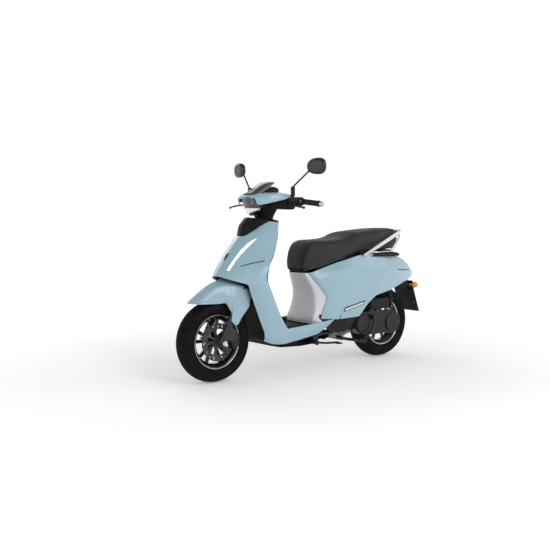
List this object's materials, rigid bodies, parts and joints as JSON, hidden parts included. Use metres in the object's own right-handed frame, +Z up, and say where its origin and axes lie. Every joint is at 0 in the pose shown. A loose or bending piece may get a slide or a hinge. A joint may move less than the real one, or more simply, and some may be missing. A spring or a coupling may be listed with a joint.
{
  "type": "moped scooter",
  "caption": "Step-through motor scooter with a painted leg shield, flat floor, long stepped seat, telescopic fork, swinging engine unit and folding stands.",
  "frame": {"origin": "on the ground under the middle of the scooter's box, on its middle plane", "axes": "+X forward along the scooter's length, +Y to the rider's left, +Z up"},
  "size_m": [1.9265, 0.8548, 1.2863],
  "materials": {
    "painted_blue": "gloss pastel blue lacquer",
    "frame_steel": "satin black",
    "black_plastic": "fine grained",
    "grey_plastic": "gloss light grey",
    "silver_paint": "satin silver",
    "seat_skin": "dark brown-grey imitation leather",
    "grip_rubber": "moulded",
    "tyre_rubber": "treaded",
    "cast_aluminium": "sand cast",
    "dark_alloy": "gloss black enamel",
    "steel": "brushed",
    "chromed": "polished",
    "lamp_clear": "clear",
    "lamp_red": "clear red",
    "lamp_amber": "clear amber"
  },
  "bodies": {
    "chassis": {"frame": "frame_steel", "front_shield": "painted_blue", "shield_top_panel": "black_plastic", "inner_shield": "black_plastic", "side_sills": "painted_blue", "floor_mat": "black_plastic", "belly_pan": "black_plastic", "centre_panel": "grey_plastic", "rear_body_panels": "painted_blue", "tail_lamp": "lamp_red", "grab_rail": "silver_paint", "rear_mudguard": "black_plastic", "rear_indicators": "lamp_amber", "storage_bucket": "black_plastic", "fuel_tank": "frame_steel", "battery": "black_plastic", "head_bearings": "steel", "shock_rods": "steel", "pivot_bolt": "steel", "shock_springs": "frame_steel"},
    "seat": {"seat_base": "black_plastic", "seat_cushion": "seat_skin"},
    "ignition_key": {"ignition_key": "steel"},
    "side_stand": {"side_stand": "frame_steel"},
    "steering": {"fork_yoke": "frame_steel", "front_mudguard": "painted_blue", "handlebar": "steel", "headset_cover_front": "painted_blue", "headset_cover_rear": "black_plastic", "headlamp_lens": "lamp_clear", "dash_visor": "black_plastic", "left_grip": "grip_rubber", "control_housings": "black_plastic"},
    "throttle": {"throttle_grip": "grip_rubber"},
    "brake_lever_left": {"brake_lever_left": "dark_alloy"},
    "brake_lever_right": {"brake_lever_right": "dark_alloy"},
    "mirror_stem_left": {"mirror_stem_left": "frame_steel"},
    "mirror_stem_right": {"mirror_stem_right": "frame_steel"},
    "mirror_left": {"mirror_head_left": "black_plastic"},
    "mirror_right": {"mirror_head_right": "black_plastic"},
    "horn_button": {"horn_button": "black_plastic"},
    "indicator_switch": {"indicator_switch": "grey_plastic"},
    "starter_button": {"starter_button": "black_plastic"},
    "fork_lower": {"fork_sliders": "dark_alloy", "front_axle": "steel", "front_caliper": "dark_alloy"},
    "front_wheel": {"front_wheel_rim": "dark_alloy", "front_tyre": "tyre_rubber", "front_brake_disc": "steel"},
    "engine_unit": {"engine_case": "cast_aluminium", "belt_cover": "black_plastic", "cylinder": "cast_aluminium", "muffler": "dark_alloy", "air_box": "black_plastic"},
    "rear_wheel": {"rear_wheel_rim": "dark_alloy", "rear_tyre": "tyre_rubber", "rear_axle": "steel"},
    "shock_lower": {"shock_dampers": "frame_steel"},
    "centre_stand": {"centre_stand": "frame_steel"},
    "kick_starter": {"kick_starter": "steel"}
  },
  "joints": [
    {"name": "steering_turn", "type": "hinge", "parent": "chassis", "child": "steering", "pos_m": [0.46047, 0, 0.69805], "axis": [-0.4462, 0, 0.8949], "range_deg": [-38, 38]},
    {"name": "fork_travel", "type": "slide", "parent": "steering", "child": "fork_lower", "axis": [-0.4462, 0, 0.8949], "range_m": [0, 0.07], "stiffness_N_per_m": 9000, "springref_m": -0.03},
    {"name": "front_wheel_spin", "type": "hinge", "parent": "fork_lower", "child": "front_wheel", "pos_m": [0.7285, 0, 0.2365], "axis": [0, 1, 0], "continuous": true},
    {"name": "rear_suspension", "type": "hinge", "parent": "chassis", "child": "engine_unit", "pos_m": [-0.215, 0, 0.262], "axis": [0, 1, 0], "range_deg": [0, 10], "stiffness_Nm_per_rad": 3500, "springref_deg": -2.86},
    {"name": "rear_wheel_spin", "type": "hinge", "parent": "engine_unit", "child": "rear_wheel", "pos_m": [-0.6415, 0, 0.2365], "axis": [0, 1, 0], "continuous": true},
    {"name": "shock_travel", "type": "slide", "parent": "chassis", "child": "shock_lower", "axis": [0.247, 0, 0.969], "range_m": [0, 0.0779], "deforming": ["shock_springs"]},
    {"name": "centre_stand_turn", "type": "hinge", "parent": "engine_unit", "child": "centre_stand", "pos_m": [-0.215, 0, 0.17], "axis": [0, -1, 0], "range_deg": [0, 80], "stiffness_Nm_per_rad": 2, "springref_deg": -51.57},
    {"name": "side_stand_turn", "type": "hinge", "parent": "chassis", "child": "side_stand", "pos_m": [0.04, 0.128, 0.172], "axis": [0, -1, 0], "range_deg": [0, 100], "stiffness_Nm_per_rad": 0.6, "springref_deg": -51.57},
    {"name": "kick_starter_turn", "type": "hinge", "parent": "engine_unit", "child": "kick_starter", "pos_m": [-0.436, 0, 0.292], "axis": [0, 1, 0], "range_deg": [0, 55], "stiffness_Nm_per_rad": 1.2, "springref_deg": -28.65},
    {"name": "throttle_turn", "type": "hinge", "parent": "steering", "child": "throttle", "pos_m": [0.266, -0.24, 1.039], "axis": [-0.3703, -0.9217, -0.1152], "range_deg": [0, 75], "stiffness_Nm_per_rad": 0.25, "springref_deg": -11.46},
    {"name": "brake_lever_left_pull", "type": "hinge", "parent": "steering", "child": "brake_lever_left", "pos_m": [0.318, 0.232, 1.02], "axis": [0, 0, 1], "range_deg": [0, 16], "stiffness_Nm_per_rad": 1.5, "springref_deg": -8.59},
    {"name": "brake_lever_right_pull", "type": "hinge", "parent": "steering", "child": "brake_lever_right", "pos_m": [0.318, -0.232, 1.02], "axis": [0, 0, -1], "range_deg": [0, 16], "stiffness_Nm_per_rad": 1.5, "springref_deg": -8.59},
    {"name": "mirror_stem_left_turn", "type": "hinge", "parent": "steering", "child": "mirror_stem_left", "pos_m": [0.3, 0.205, 1.07], "axis": [0, 0, 1], "range_deg": [-30, 30]},
    {"name": "mirror_stem_right_turn", "type": "hinge", "parent": "steering", "child": "mirror_stem_right", "pos_m": [0.3, -0.205, 1.07], "axis": [0, 0, -1], "range_deg": [-30, 30]},
    {"name": "mirror_left_tilt", "type": "hinge", "parent": "mirror_stem_left", "child": "mirror_left", "pos_m": [0.268, 0.31, 1.213], "axis": [0, 1, 0], "range_deg": [-12, 12]},
    {"name": "mirror_right_tilt", "type": "hinge", "parent": "mirror_stem_right", "child": "mirror_right", "pos_m": [0.268, -0.31, 1.213], "axis": [0, 1, 0], "range_deg": [-12, 12]},
    {"name": "seat_lift", "type": "hinge", "parent": "chassis", "child": "seat", "pos_m": [0.102, 0, 0.616], "axis": [0, 1, 0], "range_deg": [0, 62]},
    {"name": "ignition_turn", "type": "hinge", "parent": "chassis", "child": "ignition_key", "pos_m": [0.352, -0.078, 0.8], "axis": [0.975, 0, -0.222], "range_deg": [0, 90]},
    {"name": "horn_press", "type": "slide", "parent": "steering", "child": "horn_button", "axis": [1, 0, 0], "range_m": [0, 0.003], "stiffness_N_per_m": 400, "springref_m": -0.001},
    {"name": "indicator_slide", "type": "slide", "parent": "steering", "child": "indicator_switch", "axis": [0, 1, 0], "range_m": [-0.0035, 0.0035], "stiffness_N_per_m": 200},
    {"name": "starter_press", "type": "slide", "parent": "steering", "child": "starter_button", "axis": [1, 0, 0], "range_m": [0, 0.003], "stiffness_N_per_m": 400, "springref_m": -0.001}
  ],
  "couplings": [
    {"joint": "shock_travel", "follows": "rear_suspension", "m_per_rad": 0.4464}
  ]
}
